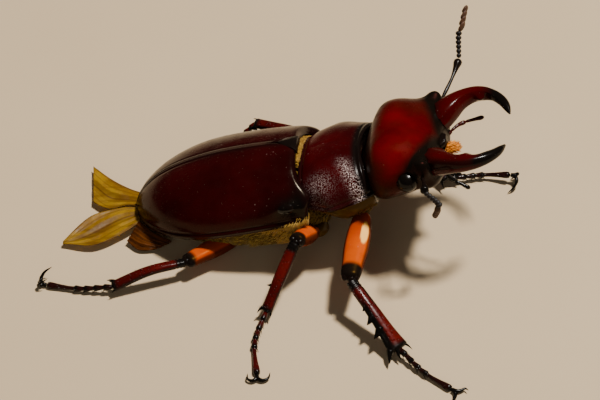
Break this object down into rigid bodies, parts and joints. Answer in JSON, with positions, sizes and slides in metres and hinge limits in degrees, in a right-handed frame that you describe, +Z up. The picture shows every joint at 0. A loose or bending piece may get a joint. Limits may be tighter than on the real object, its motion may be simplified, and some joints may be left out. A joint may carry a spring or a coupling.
{
  "type": "stag beetle model",
  "caption": "Still, life-size model of a male stag beetle standing with raised head, curved jaws, dark red wing cases and golden hindwing tips showing.",
  "frame": {"origin": "centre of the beetle's bounding box at floor level, under the front of the wing cases", "axes": "+X towards the head, +Y to the beetle's left, +Z up from the floor that the feet stand on"},
  "size_m": [0.0418, 0.0342, 0.015],
  "materials": {
    "cuticle_red": "polished deep red shell with fine pits",
    "cuticle_wine": "polished wine-red shell, dusty along its near side",
    "cuticle_dark": "polished near-black maroon shell with an olive rim",
    "cuticle_mandible": "polished dark red horn, black at the tip and along the inner edge",
    "cuticle_brown": "satin brown shell with short golden hairs",
    "cuticle_leg": "polished reddish-brown shell with black edges",
    "cuticle_black": "polished black shell",
    "amber": "polished amber-orange shell, black at the joint",
    "antenna_club": "felted brown",
    "wing_membrane": "thin golden membrane with brown veins",
    "gold_bristle": "dense orange-gold bristles",
    "eye": "mirror-smooth black lens"
  },
  "bodies": {
    "root": {"abdomen": "cuticle_brown", "antenna_left_club": "antenna_club", "antenna_left_scape": "cuticle_black", "antenna_right_club": "antenna_club", "antenna_right_scape": "cuticle_black", "claws_fore_left": "cuticle_black", "claws_fore_right": "cuticle_black", "claws_hind_left": "cuticle_black", "claws_hind_right": "cuticle_black", "claws_middle_left": "cuticle_black", "claws_middle_right": "cuticle_black", "coxa_fore_left": "cuticle_brown", "coxa_fore_right": "cuticle_brown", "coxa_hind_left": "cuticle_brown", "coxa_hind_right": "cuticle_brown", "coxa_middle_left": "cuticle_brown", "coxa_middle_right": "cuticle_brown", "elytron_left": "cuticle_dark", "elytron_right": "cuticle_dark", "eye_left": "eye", "eye_right": "eye", "femur_fore_left": "amber", "femur_fore_right": "amber", "femur_hind_left": "amber", "femur_hind_right": "amber", "femur_middle_left": "amber", "femur_middle_right": "amber", "head": "cuticle_red", "hind_thorax": "cuticle_brown", "hindwing_fold": "cuticle_brown", "hindwing_left": "wing_membrane", "hindwing_right": "wing_membrane", "labrum": "cuticle_black", "mandible_left": "cuticle_mandible", "mandible_right": "cuticle_mandible", "mouth_brush": "gold_bristle", "palp_left": "cuticle_leg", "palp_right": "cuticle_leg", "pronotum": "cuticle_wine", "prosternum": "cuticle_brown", "scutellum": "cuticle_black", "tarsus_fore_left": "cuticle_black", "tarsus_fore_right": "cuticle_black", "tarsus_hind_left": "cuticle_black", "tarsus_hind_right": "cuticle_black", "tarsus_middle_left": "cuticle_black", "tarsus_middle_right": "cuticle_black", "tibia_fore_left": "cuticle_leg", "tibia_fore_right": "cuticle_leg", "tibia_hind_left": "cuticle_leg", "tibia_hind_right": "cuticle_leg", "tibia_middle_left": "cuticle_leg", "tibia_middle_right": "cuticle_leg"}
  },
  "joints": []
}
